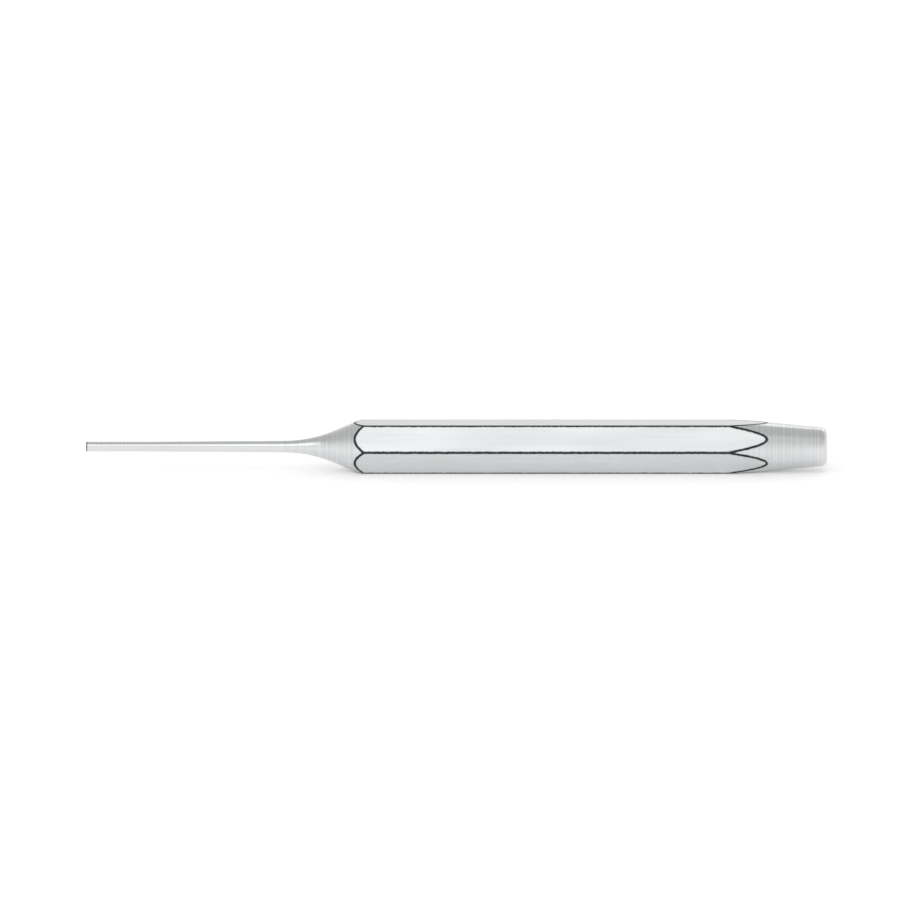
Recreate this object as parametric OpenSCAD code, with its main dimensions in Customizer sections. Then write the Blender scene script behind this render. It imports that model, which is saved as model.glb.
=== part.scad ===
// Pin punch turned from hexagon bar. The tool lies along X on one flat of the bar, with its tip at -X
// and its struck face at +X. The origin is under the middle of the tool, on the face it rests on.

/* [Whole tool] */
// Length from the working tip to the struck face
total_l = 150; // [120:1:200]

/* [Pin] */
// Diameter of the working tip, for pins of this size
tip_d = 2; // [1.6:0.1:2.4]
// Length of the parallel nose that enters the hole
nose_l = 12; // [6:0.5:20]
// Length from the tip to the start of the neck
pin_l = 40; // [30:1:50]
// Diameter where the pin meets the neck
root_d = 2.4; // [2.4:0.1:3]
// Edge break round the working face
tip_break = 0.12; // [0.05:0.01:0.3]

/* [Neck] */
// Radius of the concave flare behind the pin
flare_r = 26; // [18:1:30]
// Slope of the neck's cone to the axis, in degrees
neck_angle = 22.5; // [18:0.5:24]

/* [Shank] */
// Width of the hexagon bar across its flats
flats_w = 10; // [9:0.5:12]
// Height taken off the bar's six corners
corner_break = 0.1; // [0.02:0.01:0.3]

/* [Head] */
// Slope of the head's taper to the axis, in degrees
head_angle = 5.4; // [4.5:0.1:7]
// Length from where the taper leaves the middle of a flat to the struck face
head_l = 12.2; // [8:0.1:18]
// Rounding between the taper and the struck face
crown_r = 1.2; // [0.6:0.1:1.6]

/* [Hidden] */
// Smoothness of turned faces
$fn = 96;
// Sides of the bar
SIDES = 6;
half_side = 180 / SIDES;
// Depth below the flats at which a turned section hands over to the bar
seam_depth = 0.35;
// Length by which a cutting shape passes the face that it cuts
overrun = 0.5;
// Depth by which an arc crosses the slope that it runs into, so that they meet in one clean edge
crossing = 0.001;

// Radii of the bar, from the axis to a flat and to a sharp corner
flat_r = flats_w / 2;
corner_r = flat_r / cos(half_side);
seam_r = flat_r - seam_depth;
clear_r = corner_r + overrun;

// Where the flare runs out into the cone, and the cone into the bar
flare_end_r = root_d / 2 + flare_r * (1 - cos(neck_angle)) + crossing;
flare_end = pin_l + flare_r * sin(neck_angle);
shank_start = flare_end + (seam_r - flare_end_r) / tan(neck_angle);
neck_clear = shank_start + (clear_r - seam_r) / tan(neck_angle);

// Where the head's taper leaves the bar
shank_end = total_l - head_l + seam_depth / tan(head_angle);
head_clear = shank_end - (clear_r - seam_r) / tan(head_angle);

// Where the head's taper runs into the rounding at the struck face
face_r = flat_r - head_l * tan(head_angle);
crown_at = total_l - crown_r * (1 - sin(head_angle));
crown_edge_r = face_r + (total_l - crown_at) * tan(head_angle);
struck_r = crown_edge_r - crown_r * cos(head_angle) + crossing;

// Lays what is drawn along Z, tip at zero, along X in the resting pose
module lay_down() {
    translate([-total_l / 2, 0, flat_r]) rotate([0, 90, 0]) children();
}

// Hexagon with a flat towards X and its corners broken
module bar_section() {
    intersection() {
        rotate(half_side) circle(r = corner_r, $fn = SIDES);
        circle(r = corner_r - corner_break);
    }
}

// Parallel nose with a broken edge, then a slight taper up to the root
module pin() {
    color("gainsboro") lay_down() rotate_extrude()
        polygon([
            [0, 0], [tip_d / 2 - tip_break, 0], [tip_d / 2, tip_break],
            [tip_d / 2, nose_l], [root_d / 2, pin_l], [0, pin_l],
        ]);
}

// Concave flare that runs out into a cone, just below the flats of the bar
module neck() {
    color("silver") lay_down() rotate_extrude()
        difference() {
            polygon([
                [0, pin_l], [root_d / 2 + overrun, pin_l], [flare_end_r + overrun, flare_end - overrun],
                [flare_end_r, flare_end], [seam_r, shank_start], [0, shank_start],
            ]);
            translate([root_d / 2 + flare_r, pin_l]) circle(r = flare_r);
        }
}

// Hexagon bar whose ends are turned, so that each flat runs out in a scallop
module shank() {
    color("lightgray") lay_down()
        intersection() {
            rotate_extrude()
                polygon([
                    [0, shank_start], [seam_r, shank_start], [clear_r, neck_clear],
                    [clear_r, head_clear], [seam_r, shank_end], [0, shank_end],
                ]);
            translate([0, 0, shank_start - overrun])
                linear_extrude(shank_end - shank_start + 2 * overrun) bar_section();
        }
}

// Turned taper that ends in a rounded edge and a flat struck face
module head() {
    color("silver") lay_down() rotate_extrude() {
        polygon([
            [0, shank_end], [seam_r, shank_end], [crown_edge_r, crown_at], [struck_r, total_l], [0, total_l],
        ]);
        translate([struck_r, total_l - crown_r]) circle(r = crown_r);
    }
}

pin();
neck();
shank();
head();
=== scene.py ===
"""Dresses the pin punch: a satin hexagon bar, a turned neck and head, and a ground pin, in a white studio.

The tool lies along X on one flat of its bar, with its tip at -X. Every piece has its place in its mesh.
"""
import logging
import math
from dataclasses import dataclass
from enum import Enum
from functools import cache, cached_property
from typing import Any, Mapping, NamedTuple, Sequence

import bmesh
import bpy
from mathutils import Matrix, Vector
from mathutils.kdtree import KDTree


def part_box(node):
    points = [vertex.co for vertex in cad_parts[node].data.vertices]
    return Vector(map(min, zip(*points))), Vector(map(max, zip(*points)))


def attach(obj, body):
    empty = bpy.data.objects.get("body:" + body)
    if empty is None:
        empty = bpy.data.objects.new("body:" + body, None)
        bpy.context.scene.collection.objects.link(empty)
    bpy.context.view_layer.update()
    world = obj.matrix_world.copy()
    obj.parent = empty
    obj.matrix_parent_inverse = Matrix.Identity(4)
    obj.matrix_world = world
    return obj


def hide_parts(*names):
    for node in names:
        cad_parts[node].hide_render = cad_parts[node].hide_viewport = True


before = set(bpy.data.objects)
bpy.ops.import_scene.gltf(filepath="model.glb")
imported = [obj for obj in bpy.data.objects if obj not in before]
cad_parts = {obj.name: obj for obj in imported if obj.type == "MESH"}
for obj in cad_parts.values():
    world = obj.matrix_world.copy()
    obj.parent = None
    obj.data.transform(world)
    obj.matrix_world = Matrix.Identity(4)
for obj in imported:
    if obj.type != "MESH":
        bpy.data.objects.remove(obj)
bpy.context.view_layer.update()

# A millimetre in Blender's metres
MM = 0.001
# Distance within which two points of a mesh are one
WELD = 0.0001 * MM
# Sides of the hexagon bar, and half the angle that each takes round its axis
SIDES = 6
HALF_SIDE = math.pi / SIDES
WHITE = "#ffffff"
# Name of the attribute that holds each vertex's distance from the nearest edge with painted shade, in
# millimetres
EDGE_GAP = "edge_gap"
# Values between which nearly all of a noise lies
NOISE_SPAN = (0.3, 0.7)
# Number of ever finer layers in the noise of clouds, and in that of rings
CLOUD_DETAIL = 3.0
RING_DETAIL = 2.0
# How deep frays bite into the painted shade along an edge, and where it starts to fade and is gone, as
# shares of its reach
BITE_SHARE = 0.3
FADE_SHARES = (0.5, 1.3)
LOG = logging.getLogger("pin_punch")
# What a node's input takes: another node's output, or a value
Link = bpy.types.NodeSocket | float | Sequence[float]


def linear(colour: str) -> tuple[float, float, float, float]:
    """Turns an sRGB hex colour into the linear colour that a shader takes.

    Args:
        colour: Six hex digits after a hash, such as "#c8cacc".

    Returns:
        Red, green, blue and an alpha of one.
    """
    parts = [part / 255 for part in bytes.fromhex(colour[1:])]
    red, green, blue = (p / 12.92 if p <= 0.04045 else ((p + 0.055) / 1.055) ** 2.4 for p in parts)
    return red, green, blue, 1.0


def add(tree: bpy.types.NodeTree, kind: str, inputs: Mapping[str | int, Link] | None = None,
        **settings: Any) -> bpy.types.Node:
    """Adds one node with its settings, values and links.

    Args:
        tree: The node tree that the node goes into.
        kind: The node's type, such as "ShaderNodeMath".
        inputs: A socket to link or a value to set, for each input by its name, or by its number where
            several have one name.
        **settings: Properties of the node itself.

    Returns:
        The new node.
    """
    node = tree.nodes.new(kind)
    for name, value in settings.items():
        setattr(node, name, value)
    for name, value in (inputs or {}).items():
        if isinstance(value, bpy.types.NodeSocket):
            tree.links.new(value, node.inputs[name])
        else:
            node.inputs[name].default_value = value
    return node


class End(Enum):
    """An end of the bar. Its value is the way along X that the end faces."""

    NECK = -1
    HEAD = 1


@dataclass(frozen=True)
class Layout:
    """Where the sections of the tool meet, in metres and radians.

    Attributes:
        tip_x: Place of the pin's face along the axis.
        root_x: Place where the pin meets the neck.
        bar_x: Place of the seam between the neck and the bar.
        head_x: Place of the seam between the bar and the head.
        face_x: Place of the struck face.
        root_r: Radius where the pin meets the neck.
        seam_r: Radius at both seams, a little less than that of the flats.
        flat_r: Distance from the axis to a flat, which is also the height of the axis above the floor.
        corner_r: Radius of the bar's broken corners.
        neck_slope: Slope to the axis of the neck's cone, which the end of the bar shares.
        head_slope: Slope to the axis of the head's taper, which the other end of the bar shares.
    """

    tip_x: float
    root_x: float
    bar_x: float
    head_x: float
    face_x: float
    root_r: float
    seam_r: float
    flat_r: float
    corner_r: float
    neck_slope: float = math.radians(22.5)
    head_slope: float = math.radians(5.4)

    @classmethod
    def from_frame(cls) -> "Layout":
        """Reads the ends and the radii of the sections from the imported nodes.

        Returns:
            The layout.
        """
        pin, neck, bar, head = (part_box(name) for name in ("pin", "neck", "shank", "head"))
        return cls(tip_x=pin[0].x, root_x=pin[1].x, bar_x=bar[0].x, head_x=bar[1].x, face_x=head[1].x,
                   root_r=(pin[1].z - pin[0].z) / 2, seam_r=(neck[1].z - neck[0].z) / 2,
                   flat_r=(bar[1].z - bar[0].z) / 2, corner_r=(bar[1].y - bar[0].y) / 2)

    def off_corner(self, angle: float) -> float:
        """Gives the angle to the nearest corner of the bar, from an angle round the axis, zero along Y."""
        return abs((angle + HALF_SIDE) % (2 * HALF_SIDE) - HALF_SIDE)

    def bar_r(self, angle: float) -> float:
        """Gives the bar's radius at an angle round the axis, zero along Y."""
        return min(self.flat_r / math.cos(HALF_SIDE - self.off_corner(angle)), self.corner_r)

    def turned_x(self, r: float, end: End) -> float:
        """Gives the place along the axis at which a turned end of the bar has a radius.

        Args:
            r: The radius.
            end: The end.

        Returns:
            The place.
        """
        if end is End.NECK:
            return self.bar_x + (r - self.seam_r) / math.tan(self.neck_slope)
        return self.head_x - (r - self.seam_r) / math.tan(self.head_slope)


class Grain(Enum):
    """What the marks in a finish follow. Each value is how fast they change along X, Y and Z, as shares."""

    ROUND_AXIS = (1.0, 0.0, 0.0)
    ON_FACE = (0.0, 1.0, 1.0)
    ALONG_BAR = (0.015, 1.0, 1.0)


@dataclass(frozen=True)
class Steel:
    """A finish on hardened chrome-vanadium tool steel. Its lengths are in millimetres, as are its patterns.

    Attributes:
        name: The finish in a maker's words.
        colour: The surface where it is whole.
        roughness: How far it spreads a reflection.
        grain: What the marks follow.
        pitch: Real distance from mark to mark.
        coarser: How many times coarser the marks are drawn, so that they show.
        depth: Height of the marks.
        edge_shade_and_marks: Dark colour painted along the edges as shade, which the marks and streaks also
            take a little of.
        reach: Distance that the painted edge shade spreads from an edge.
        fray: Size of the frays at the end of the painted edge shade.
        streaks: Length and width of the streaks that a wiping cloth leaves.
        dulling: Share of the dark edge colour where marks and streaks are at their strongest.
        unevenness: Roughness that the streaks add or take away.
    """

    name: str
    colour: str
    roughness: float
    grain: Grain
    pitch: float
    coarser: float
    depth: float
    # Dark colour painted along every edge as shade, and taken a little into the marks and streaks
    edge_shade_and_marks: str = "#303336"
    reach: float = 0.37
    fray: float = 0.7
    streaks: tuple[float, float] = (25.0, 3.3)
    dulling: float = 0.1
    unevenness: float = 0.04

    @cache
    def material(self, axis_z: float) -> bpy.types.Material:
        """Builds the finish as nodes, once for all the pieces that have it.

        Args:
            axis_z: Height of the tool's axis, about which the patterns lie.

        Returns:
            The material.
        """
        made = bpy.data.materials.new(self.name)
        made.use_nodes = True
        tree = made.node_tree
        tree.nodes.clear()
        place = add(tree, "ShaderNodeTexCoord").outputs["Object"]
        place = add(tree, "ShaderNodeMapping", {
            "Vector": place, "Location": (0, 0, -axis_z / MM), "Scale": [1 / MM] * 3}).outputs[0]
        marks = self.marks(tree, place)
        length, width = self.streaks
        wiped = self.clouds(tree, place, (1 / length, 1 / width, 1 / width))
        dulled = add(tree, "ShaderNodeMath", {0: marks, 1: wiped}, operation="ADD").outputs[0]
        dulled = add(tree, "ShaderNodeMath", {0: dulled, 1: self.dulling / 2},
                     operation="MULTIPLY").outputs[0]
        # Painted shade: the dark colour along the edges, or a little of it in the marks and streaks,
        # whichever is more
        share = add(tree, "ShaderNodeMath", {0: self.painted_edge_shade(tree, place), 1: dulled},
                    operation="MAXIMUM").outputs[0]
        # A mix of colours takes them at its inputs 6 and 7, and gives the result at its output 2
        colour = add(tree, "ShaderNodeMix", {0: share, 6: linear(self.colour), 7: linear(self.edge_shade_and_marks)},
                     data_type="RGBA").outputs[2]
        rough = add(tree, "ShaderNodeMath", {
            0: wiped, 1: 2 * self.unevenness, 2: self.roughness - self.unevenness},
            operation="MULTIPLY_ADD").outputs[0]
        bump = add(tree, "ShaderNodeBump", {"Distance": self.depth * MM, "Height": marks}).outputs[0]
        steel = add(tree, "ShaderNodeBsdfPrincipled", {
            "Base Color": colour, "Metallic": 1.0, "Roughness": rough, "Normal": bump}).outputs[0]
        add(tree, "ShaderNodeOutputMaterial", {"Surface": steel})
        return made

    def clouds(self, tree: bpy.types.NodeTree, place: bpy.types.NodeSocket,
               closeness: Sequence[float], by_distance: bool = False) -> bpy.types.NodeSocket:
        """Adds soft noise that is spread to run from zero to one.

        Args:
            tree: The finish's nodes.
            place: The point on the tool, in millimetres from the middle of its axis.
            closeness: Clouds in a millimetre along X, Y and Z.
            by_distance: Whether the noise changes with the distance from the middle alone, as rings do.

        Returns:
            The noise.
        """
        spaced = add(tree, "ShaderNodeMapping", {"Vector": place, "Scale": closeness}).outputs[0]
        inputs = {"Vector": spaced, "Scale": 1.0, "Detail": CLOUD_DETAIL}
        if by_distance:
            away = add(tree, "ShaderNodeVectorMath", {0: spaced}, operation="LENGTH").outputs["Value"]
            inputs = {"W": away, "Scale": 1.0, "Detail": RING_DETAIL}
        noise = add(tree, "ShaderNodeTexNoise", inputs,
                    noise_dimensions="1D" if by_distance else "3D").outputs[0]
        low, high = NOISE_SPAN
        return add(tree, "ShaderNodeMapRange", {
            "Value": noise, "From Min": low, "From Max": high}).outputs[0]

    def marks(self, tree: bpy.types.NodeTree, place: bpy.types.NodeSocket) -> bpy.types.NodeSocket:
        """Adds the height of the marks at a place in millimetres, from zero to one."""
        closeness = [share / (self.pitch * self.coarser) for share in self.grain.value]
        return self.clouds(tree, place, closeness, by_distance=self.grain is not Grain.ALONG_BAR)

    def painted_edge_shade(self, tree: bpy.types.NodeTree, place: bpy.types.NodeSocket) -> bpy.types.NodeSocket:
        """Adds the share of painted edge shade, the dark line along the edges: one on an edge, zero past
        its reach, and frayed between.

        Args:
            tree: The finish's nodes.
            place: The point on the tool, in millimetres from the middle of its axis.

        Returns:
            The share.
        """
        gap = add(tree, "ShaderNodeAttribute", attribute_name=EDGE_GAP).outputs["Fac"]
        frayed = self.clouds(tree, place, [1 / self.fray] * 3)
        gap = add(tree, "ShaderNodeMath", {0: frayed, 1: self.reach * BITE_SHARE, 2: gap},
                  operation="MULTIPLY_ADD").outputs[0]
        whole, gone = (self.reach * share for share in FADE_SHARES)
        return add(tree, "ShaderNodeMapRange", {
            "Value": gap, "From Min": whole, "From Max": gone, "To Min": 1.0, "To Max": 0.0},
            interpolation_type="SMOOTHSTEP").outputs[0]


# Hexagon bar, blasted and satin chromed: pale and even, with faint lines lengthwise from the drawing die.
# The lines are some 0.1 mm apart, and are drawn coarser
SATIN_CHROME = Steel("satin_chromed_steel", "#e0e1e2", 0.3, Grain.ALONG_BAR,
                     pitch=0.1, coarser=4.0, depth=0.002)
# Turned on a lathe and left bright: rings round the axis, which catch the light as fine bands. The feed is
# an eighth of a millimetre a turn, and is drawn coarser
TURNED = Steel("bright_turned_steel", "#e3e4e5", 0.24, Grain.ROUND_AXIS,
               pitch=0.125, coarser=4.0, depth=0.004, dulling=0.2)
# Ground between centres: the smoothest and brightest part. The wheel leaves rings some 0.05 mm apart, which
# are drawn coarser and still hardly show
GROUND = Steel("bright_ground_steel", "#e2e3e4", 0.22, Grain.ROUND_AXIS,
               pitch=0.05, coarser=8.0, depth=0.001, reach=0.1)
# Faced for the hammer: fine circles about the axis, a little duller than the taper. The feed is some
# 0.09 mm a turn, and is drawn coarser
FACED = Steel("bright_faced_steel", "#d8d9da", 0.3, Grain.ON_FACE,
              pitch=0.09, coarser=4.0, depth=0.005, dulling=0.2)


class Turning:
    """An outline of places along the axis and radii, which is then spun into a closed solid."""

    def __init__(self, x: float) -> None:
        """Starts the outline on the axis."""
        self.mesh: bmesh.types.BMesh = bmesh.new()
        self.last: bmesh.types.BMVert = self.mesh.verts.new((x, 0.0, 0.0))

    def line(self, x: float, r: float, parts: int = 1) -> "Turning":
        """Runs straight to a point.

        Args:
            x: Place along the axis.
            r: Radius there.
            parts: Number of equal lengths that the line is made of.

        Returns:
            The outline, for the next stretch.
        """
        start, goal = self.last.co.copy(), Vector((x, 0.0, r))
        for part in range(parts):
            self.last = bmesh.ops.extrude_vert_indiv(self.mesh, verts=[self.last])["verts"][0]
            self.last.co = start.lerp(goal, (part + 1) / parts)
        return self

    def arc(self, x: float, r: float, turn: float, parts: int) -> "Turning":
        """Swings round a centre.

        Args:
            x: The centre's place along the axis.
            r: The centre's radius.
            turn: Angle to swing, positive from away from the axis towards +X.
            parts: Number of chords.

        Returns:
            The outline, for the next stretch.
        """
        made = bmesh.ops.spin(self.mesh, geom=[self.last], cent=(x, 0.0, r), axis=(0.0, 1.0, 0.0),
                              angle=turn, steps=parts)["geom_last"]
        self.last = next(item for item in made if isinstance(item, bmesh.types.BMVert))
        return self

    def spin(self, around: int) -> bmesh.types.BMesh:
        """Spins the outline about the axis.

        Args:
            around: Number of steps in the full turn.

        Returns:
            The closed solid, with its axis on X.
        """
        mesh = self.mesh
        bmesh.ops.spin(mesh, geom=mesh.verts[:] + mesh.edges[:], cent=(0.0, 0.0, 0.0),
                       axis=(1.0, 0.0, 0.0), angle=math.tau, steps=around, use_merge=True)
        bmesh.ops.remove_doubles(mesh, verts=mesh.verts[:], dist=WELD)
        bmesh.ops.recalc_face_normals(mesh, faces=mesh.faces[:])
        return mesh


@dataclass
class Section:
    """One working section of the punch.

    Attributes:
        layout: Where the tool lies.
        around: Number of steps round the axis.
        sharp_angle: Angle between two faces from which their edge looks sharp.
    """

    layout: Layout
    around: int = 240
    sharp_angle: float = math.radians(20.0)

    def edge_gap(self, point: Vector) -> float:
        """Gives a point's distance from the nearest edge that gets painted shade, or the tool's length if
        none does.
        """
        return self.layout.face_x - self.layout.tip_x

    def dress(self, mesh: bmesh.types.BMesh, name: str, node: str, slot: str,
              *finishes: Steel) -> bpy.types.Object:
        """Turns a mesh into a finished piece that stands for a node.

        Args:
            mesh: The closed solid with its axis on X, which is used up.
            name: The piece's name.
            node: The node that it stands for.
            slot: A material slot's name; not used.
            *finishes: The finishes that its faces name by number.

        Returns:
            The piece.
        """
        # Each vertex keeps its distance from the edges, which the finishes paint with dark shade
        gaps = mesh.verts.layers.float.new(EDGE_GAP)
        for vert in mesh.verts:
            vert[gaps] = self.edge_gap(vert.co) / MM
        bmesh.ops.translate(mesh, verts=mesh.verts[:], vec=(0.0, 0.0, self.layout.flat_r))
        data = bpy.data.meshes.new(name)
        mesh.to_mesh(data)
        mesh.free()
        for finish in finishes:
            data.materials.append(finish.material(self.layout.flat_r))
        data.shade_smooth()
        data.set_sharp_from_angle(angle=self.sharp_angle)
        piece = bpy.data.objects.new(name, data)
        bpy.context.scene.collection.objects.link(piece)
        piece.modifiers.new("flats_shade_flat", "WEIGHTED_NORMAL").keep_sharp = True
        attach(piece, "root")
        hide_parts(node)
        return piece


@dataclass
class Pin(Section):
    """The thin working pin: a parallel nose with a broken edge, then a slight taper up to the root.

    Attributes:
        tip_d: Diameter of the nose.
        nose_l: Length of the nose.
        tip_break: Width and depth of the broken edge.
        nose_parts: Lengths that the nose is made of.
        taper_parts: Lengths that the taper is made of.
    """

    tip_d: float = 2.0 * MM
    nose_l: float = 12.0 * MM
    tip_break: float = 0.12 * MM
    nose_parts: int = 6
    taper_parts: int = 12

    def edge_gap(self, point: Vector) -> float:
        """Gives a point's distance from the nearer rim of the broken edge.

        Args:
            point: The point, from the middle of the tool's axis.

        Returns:
            The distance.
        """
        tip_x, tip_r = self.layout.tip_x, self.tip_d / 2
        rims = ((tip_x, tip_r - self.tip_break), (tip_x + self.tip_break, tip_r))
        spot = (point.x, math.hypot(point.y, point.z))
        return min(math.dist(spot, rim) for rim in rims)

    def build(self) -> bpy.types.Object:
        """Builds the pin.

        Returns:
            The piece.
        """
        lay, tip_r = self.layout, self.tip_d / 2
        rim_x = lay.tip_x + self.tip_break
        outline = Turning(lay.tip_x).line(lay.tip_x, tip_r - self.tip_break).line(rim_x, tip_r)
        # A ring just behind the broken edge keeps the painted edge shade there narrow
        outline.line(rim_x + self.tip_break, tip_r).line(lay.tip_x + self.nose_l, tip_r, self.nose_parts)
        outline.line(lay.root_x, lay.root_r, self.taper_parts).line(lay.root_x, 0.0)
        return self.dress(outline.spin(self.around), "ground_pin", "pin", "ground_pin", GROUND)


@dataclass
class Neck(Section):
    """The concave flare behind the pin, which runs out into a cone.

    Attributes:
        flare_r: Radius of the flare.
        flare_parts: Chords that the flare is made of.
        cone_parts: Lengths that the cone is made of.
    """

    flare_r: float = 26.0 * MM
    flare_parts: int = 24
    cone_parts: int = 4

    def build(self) -> bpy.types.Object:
        """Builds the neck.

        Returns:
            The piece.
        """
        lay = self.layout
        outline = Turning(lay.root_x).line(lay.root_x, lay.root_r)
        outline.arc(lay.root_x, lay.root_r + self.flare_r, -lay.neck_slope, self.flare_parts)
        outline.line(lay.bar_x, lay.seam_r, self.cone_parts).line(lay.bar_x, 0.0)
        return self.dress(outline.spin(self.around), "flared_neck", "neck", "turned_steel", TURNED)


class Ring(NamedTuple):
    """A ring of points round the bar, near one of its ends. With its defaults it lies on the scallops.

    Attributes:
        end: The end of the bar that it is near.
        share: Share of the way from the seam to the scallops.
        step: Distance past the scallops, towards the middle of the bar.
    """

    end: End
    share: float = 1.0
    step: float = 0.0


@dataclass
class Shank(Section):
    """The hexagon bar, whose flats run out in scallops where its ends are turned.

    Attributes:
        cone_shares: Rings on a turned end, as shares of the way from its seam to the scallops.
        first_step: Distance from the scallops to the first ring on the bar.
        step_growth: How many times further each next ring lies.
        flat_rings: Number of rings on the bar at each end.
        crest_round: Reach of the rounding on each side of a scallop's crest.
        crest_parts: Chords that the rounding is made of.
        corner_parts: Chords that each broken corner is made of.
        crest_points: Points on each row of scallops, from which the painted edge shade is measured.
        turned_share: Slope from which a face is turned, as a share of the head's.
    """

    cone_shares: tuple[float, ...] = (0.0, 0.25, 0.5, 0.75, 0.9, 1.0)
    first_step: float = 0.3 * MM
    step_growth: float = 1.5
    flat_rings: int = 8
    crest_round: float = 0.06 * MM
    crest_parts: int = 2
    corner_parts: int = 4
    crest_points: int = 3840
    turned_share: float = 0.75

    def build(self) -> bpy.types.Object:
        """Builds the bar ring by ring, rounds the crests and gives the turned ends their own finish.

        Returns:
            The piece.
        """
        mesh = self.cross_section()
        seam = edges = mesh.edges[:]
        crests: list[bmesh.types.BMEdge] = []
        for number, ring in enumerate(self.rings(End.NECK) + self.rings(End.HEAD)[::-1]):
            if number:
                made = bmesh.ops.extrude_edge_only(mesh, edges=edges)["geom"]
                edges = [item for item in made if isinstance(item, bmesh.types.BMEdge)]
            for vert in {vert for edge in edges for vert in edge.verts}:
                vert.co = self.ring_point(math.atan2(vert.co.z, vert.co.y), ring)
            if ring == Ring(ring.end):
                crests += edges
        for opening in (seam, edges):
            bmesh.ops.holes_fill(mesh, edges=opening, sides=0)
        bmesh.ops.recalc_face_normals(mesh, faces=mesh.faces[:])
        bmesh.ops.bevel(mesh, geom=crests, offset=self.crest_round, offset_type="OFFSET",
                        segments=self.crest_parts, profile=0.5, affect="EDGES", material=-1)
        mesh.normal_update()
        turned = math.sin(self.layout.head_slope) * self.turned_share
        for face in mesh.faces:
            face.material_index = int(abs(face.normal.x) > turned)
        return self.dress(mesh, "hexagon_shank", "shank", "satin_bar", SATIN_CHROME, TURNED)

    def cross_section(self) -> bmesh.types.BMesh:
        """Draws the ring of edges round the hexagon with its broken corners, with a corner on Y.

        Returns:
            The new mesh, which holds only the ring.
        """
        lay = self.layout
        mesh = bmesh.new()
        bmesh.ops.create_circle(mesh, segments=SIDES, radius=lay.flat_r / math.cos(HALF_SIDE))
        # Half a side of the sharp hexagon, less half of what its broken corners leave of it
        cut = lay.flat_r * math.tan(HALF_SIDE) - math.sqrt(lay.corner_r ** 2 - lay.flat_r ** 2)
        bmesh.ops.bevel(mesh, geom=mesh.verts[:], offset=cut, offset_type="OFFSET",
                        segments=self.corner_parts, profile=0.5, affect="VERTICES", material=-1)
        flats = sorted(mesh.edges, key=lambda edge: edge.calc_length())[-SIDES:]
        bmesh.ops.subdivide_edges(mesh, edges=flats, cuts=self.around // SIDES - self.corner_parts - 1)
        bmesh.ops.rotate(mesh, verts=mesh.verts[:], matrix=Matrix.Rotation(math.pi / 2, 3, "Y"))
        return mesh

    def rings(self, end: End) -> list[Ring]:
        """Lists the rings near an end, from its seam towards the middle of the bar."""
        steps = [self.first_step * self.step_growth ** number for number in range(self.flat_rings)]
        return [Ring(end, share) for share in self.cone_shares] + [Ring(end, step=step) for step in steps]

    def ring_point(self, angle: float, ring: Ring) -> Vector:
        """Gives the point of a ring at an angle round the axis, zero along Y.

        Args:
            angle: The angle.
            ring: The ring.

        Returns:
            The point, from the middle of the tool's axis.
        """
        lay = self.layout
        r = lay.seam_r + (lay.bar_r(angle) - lay.seam_r) * ring.share
        x = lay.turned_x(r, ring.end) - ring.end.value * ring.step
        return Vector((x, r * math.cos(angle), r * math.sin(angle)))

    @cached_property
    def crest_tree(self) -> KDTree:
        """Collects points along the scallops of both ends, close enough together to measure from.

        Returns:
            The points, from the middle of the tool's axis.
        """
        angles = [math.tau * number / self.crest_points for number in range(self.crest_points)]
        points = [self.ring_point(angle, Ring(end)) for end in End for angle in angles]
        tree = KDTree(len(points))
        for number, point in enumerate(points):
            tree.insert(point, number)
        tree.balance()
        return tree

    def edge_gap(self, point: Vector) -> float:
        """Gives a point's distance from the nearest scallop or broken corner.

        Args:
            point: The point, from the middle of the tool's axis.

        Returns:
            The distance.
        """
        lay = self.layout
        r = math.hypot(point.y, point.z)
        off = lay.off_corner(math.atan2(point.z, point.y))
        across = math.dist((r, 0.0), (lay.corner_r * math.cos(off), lay.corner_r * math.sin(off)))
        first, last = (lay.turned_x(lay.corner_r, end) for end in End)
        beyond = max(first - point.x, point.x - last, 0.0)
        return min(math.hypot(across, beyond), self.crest_tree.find(point)[2])


@dataclass
class Head(Section):
    """The turned taper, with a rounded edge and a flat face for the hammer.

    Attributes:
        crown_r: Radius of the rounded edge.
        taper_parts: Lengths that the taper is made of.
        crown_parts: Chords that the rounded edge is made of.
        face_parts: Rings that the struck face is made of.
    """

    crown_r: float = 1.2 * MM
    taper_parts: int = 10
    crown_parts: int = 12
    face_parts: int = 5

    def build(self) -> bpy.types.Object:
        """Builds the head.

        Returns:
            The piece.
        """
        lay, slope, crown = self.layout, self.layout.head_slope, self.crown_r
        edge_x = lay.face_x - crown * (1 - math.sin(slope))
        edge_r = lay.seam_r - (edge_x - lay.head_x) * math.tan(slope)
        outline = Turning(lay.head_x).line(lay.head_x, lay.seam_r).line(edge_x, edge_r, self.taper_parts)
        outline.arc(lay.face_x - crown, edge_r - crown * math.cos(slope), math.pi / 2 - slope,
                    self.crown_parts)
        mesh = outline.line(lay.face_x, 0.0, self.face_parts).spin(self.around)
        for face in mesh.faces:
            face.material_index = int(face.calc_center_median().x > lay.face_x - WELD)
        return self.dress(mesh, "struck_head", "head", "turned_steel", TURNED, FACED)


@dataclass(frozen=True)
class Softbox:
    """A square studio lamp that looks at the tool.

    Attributes:
        name: The lamp's name.
        place: Where it hangs, in metres.
        side: Its side, in metres.
        watts: Its power.
    """

    name: str
    place: tuple[float, float, float]
    side: float
    watts: float

    def build(self) -> None:
        """Hangs the lamp."""
        lamp = bpy.data.lights.new(self.name, "AREA")
        lamp.size = self.side
        lamp.energy = self.watts
        holder = bpy.data.objects.new(self.name, lamp)
        holder.location = self.place
        holder.rotation_euler = (-Vector(self.place)).to_track_quat("-Z", "Y").to_euler()
        bpy.context.scene.collection.objects.link(holder)


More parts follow.
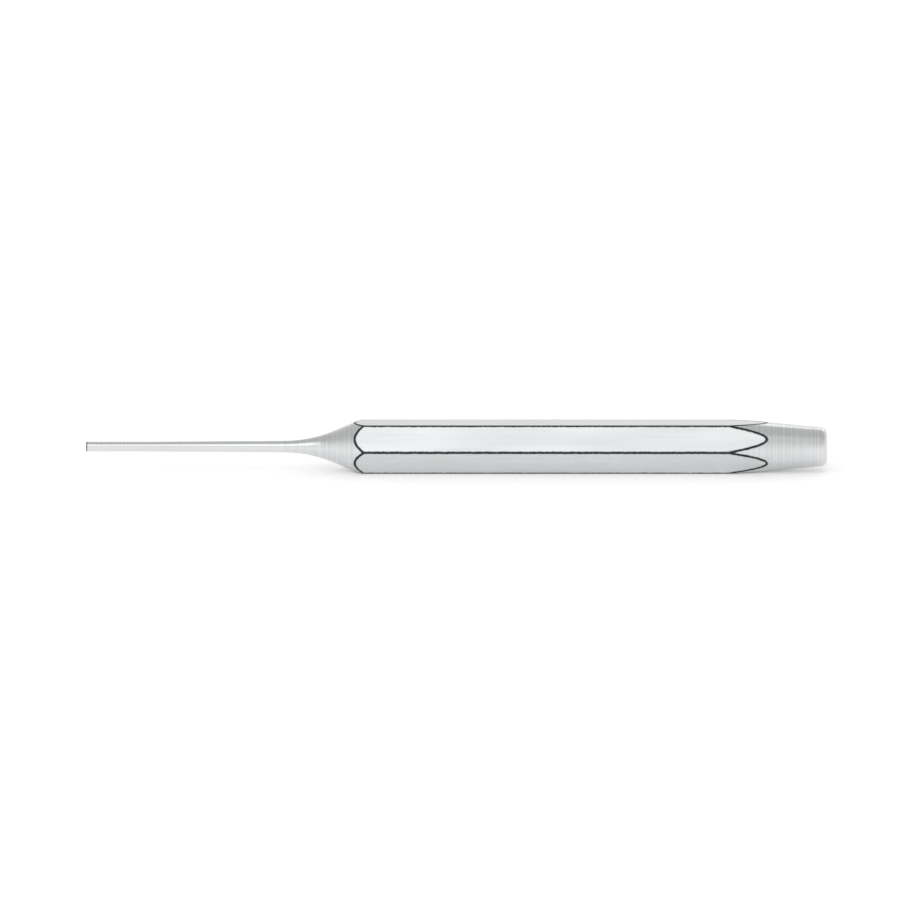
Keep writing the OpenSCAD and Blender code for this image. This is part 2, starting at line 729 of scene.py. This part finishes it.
@dataclass
class Studio:
    """The camera, a white floor, pale surroundings and soft lamps.

    Attributes:
        layout: Where the tool lies.
        frame_px: Side of the photograph.
        tip_px: Where the tip is across the photograph.
        face_px: Where the struck face is across the photograph.
        axis_px: Where the tool's axis is down the photograph.
        elevation: Angle from which the photograph looks down on the tool.
        reach: Distance from the camera to the tool.
        nearest: Distance from the camera at which the picture starts.
        floor_side: Side of the floor.
        floor_paint: Colour of the floor.
        floor_glow: Strength that lifts the floor to the white of the surroundings.
        daylight: Strength at which the surroundings light what is matt.
        overhead: Strength of the surroundings overhead, as the steel shows them. Low down it is one.
        ceiling: Heights in the surroundings at which they begin to darken and at which they are darkest,
            each as the sine of its angle above the floor.
        lamps: The lamps.
    """

    layout: Layout
    frame_px: float = 900.0
    tip_px: float = 86.2
    face_px: float = 827.05
    axis_px: float = 446.6
    elevation: float = math.radians(13.0)
    reach: float = 600.0 * MM
    nearest: float = 30.0 * MM
    floor_side: float = 6000.0 * MM
    floor_paint: str = "#f2f2f2"
    floor_glow: float = 0.2
    daylight: float = 0.88
    overhead: float = 0.6
    ceiling: tuple[float, float] = (0.1, 0.85)
    lamps: tuple[Softbox, ...] = (
        Softbox("key_lamp", (-0.3, -0.95, 1.05), 1.0, 2.3),
        Softbox("rim_lamp", (0.5, 1.1, 0.9), 0.8, 1.2),
    )

    def build(self) -> None:
        """Builds the whole studio."""
        self.build_camera()
        self.build_floor()
        self.build_surroundings()
        for lamp in self.lamps:
            lamp.build()

    def build_camera(self) -> None:
        """Builds a camera without perspective, which frames the tool as the photograph does."""
        lay = self.layout
        pixel = (lay.face_x - lay.tip_x) / (self.face_px - self.tip_px)
        up = Vector((0, math.sin(self.elevation), math.cos(self.elevation)))
        back = Vector((0, -math.cos(self.elevation), math.sin(self.elevation)))
        middle = Vector((lay.tip_x + (self.frame_px / 2 - self.tip_px) * pixel, 0, lay.flat_r))
        middle -= up * (self.frame_px / 2 - self.axis_px) * pixel
        camera = bpy.data.cameras.new("camera")
        camera.type = "ORTHO"
        camera.ortho_scale = self.frame_px * pixel
        camera.clip_start = self.nearest
        holder = bpy.data.objects.new("camera", camera)
        holder.location = middle + back * self.reach
        holder.rotation_euler = (math.pi / 2 - self.elevation, 0, 0)
        bpy.context.scene.collection.objects.link(holder)
        bpy.context.scene.camera = holder

    def build_floor(self) -> None:
        """Builds the floor, white to the eye and in the steel, with the tool's soft shadow on it."""
        mesh = bmesh.new()
        bmesh.ops.create_grid(mesh, x_segments=1, y_segments=1, size=self.floor_side / 2)
        data = bpy.data.meshes.new("floor")
        mesh.to_mesh(data)
        mesh.free()
        # Painted board: matt and white. The glow lifts it to the white of the surroundings
        paint = bpy.data.materials.new("white_board")
        paint.use_nodes = True
        tree = paint.node_tree
        tree.nodes.clear()
        glow = add(tree, "ShaderNodeMath", {0: self.seen(tree), 1: self.floor_glow},
                   operation="MULTIPLY").outputs[0]
        board = add(tree, "ShaderNodeBsdfDiffuse", {"Color": linear(self.floor_paint)}).outputs[0]
        lit = add(tree, "ShaderNodeEmission", {"Color": linear(WHITE), "Strength": glow}).outputs[0]
        both = add(tree, "ShaderNodeAddShader", {0: board, 1: lit}).outputs[0]
        add(tree, "ShaderNodeOutputMaterial", {"Surface": both})
        data.materials.append(paint)
        floor = bpy.data.objects.new("floor", data)
        bpy.context.scene.collection.objects.link(floor)

    def build_surroundings(self) -> None:
        """Builds the surroundings: white to the eye, white low down in the steel, and greyer overhead."""
        world = bpy.data.worlds.new("studio")
        bpy.context.scene.world = world
        world.use_nodes = True
        tree = world.node_tree
        tree.nodes.clear()
        way = add(tree, "ShaderNodeTexCoord").outputs["Generated"]
        rise = add(tree, "ShaderNodeSeparateXYZ", {0: way}).outputs["Z"]
        low, high = self.ceiling
        ceiling = add(tree, "ShaderNodeMapRange", {
            "Value": rise, "From Min": low, "From Max": high, "To Min": 1.0, "To Max": self.overhead},
            interpolation_type="SMOOTHSTEP").outputs[0]
        looked_at = add(tree, "ShaderNodeLightPath").outputs["Is Camera Ray"]
        shown = add(tree, "ShaderNodeMath", {0: ceiling, 1: looked_at}, operation="MAXIMUM").outputs[0]
        lighting, showing = (
            add(tree, "ShaderNodeBackground", {"Color": linear(WHITE), "Strength": strength}).outputs[0]
            for strength in (self.daylight, shown))
        both = add(tree, "ShaderNodeMixShader", {0: self.seen(tree), 1: lighting, 2: showing}).outputs[0]
        add(tree, "ShaderNodeOutputWorld", {"Surface": both})

    @staticmethod
    def seen(tree: bpy.types.NodeTree) -> bpy.types.NodeSocket:
        """Adds a value of one for what the camera sees, also in steel or through glass, and else zero.

        Args:
            tree: The nodes of the floor or of the surroundings.

        Returns:
            The value.
        """
        path = add(tree, "ShaderNodeLightPath").outputs
        seen = path["Is Camera Ray"]
        for way in ("Is Glossy Ray", "Is Transmission Ray"):
            seen = add(tree, "ShaderNodeMath", {0: seen, 1: path[way]}, operation="MAXIMUM").outputs[0]
        return seen


def main() -> None:
    """Builds the studio and the punch."""
    logging.basicConfig(level=logging.INFO, format="%(name)s: %(message)s")
    bpy.context.scene.view_settings.view_transform = "Standard"
    layout = Layout.from_frame()
    Studio(layout).build()
    for section in (Pin(layout), Neck(layout), Shank(layout), Head(layout)):
        piece = section.build()
        LOG.info("%s for the %s: %d faces", piece.name, type(section).__name__.lower(),
                 len(piece.data.polygons))


if __name__ == "__main__":
    main()
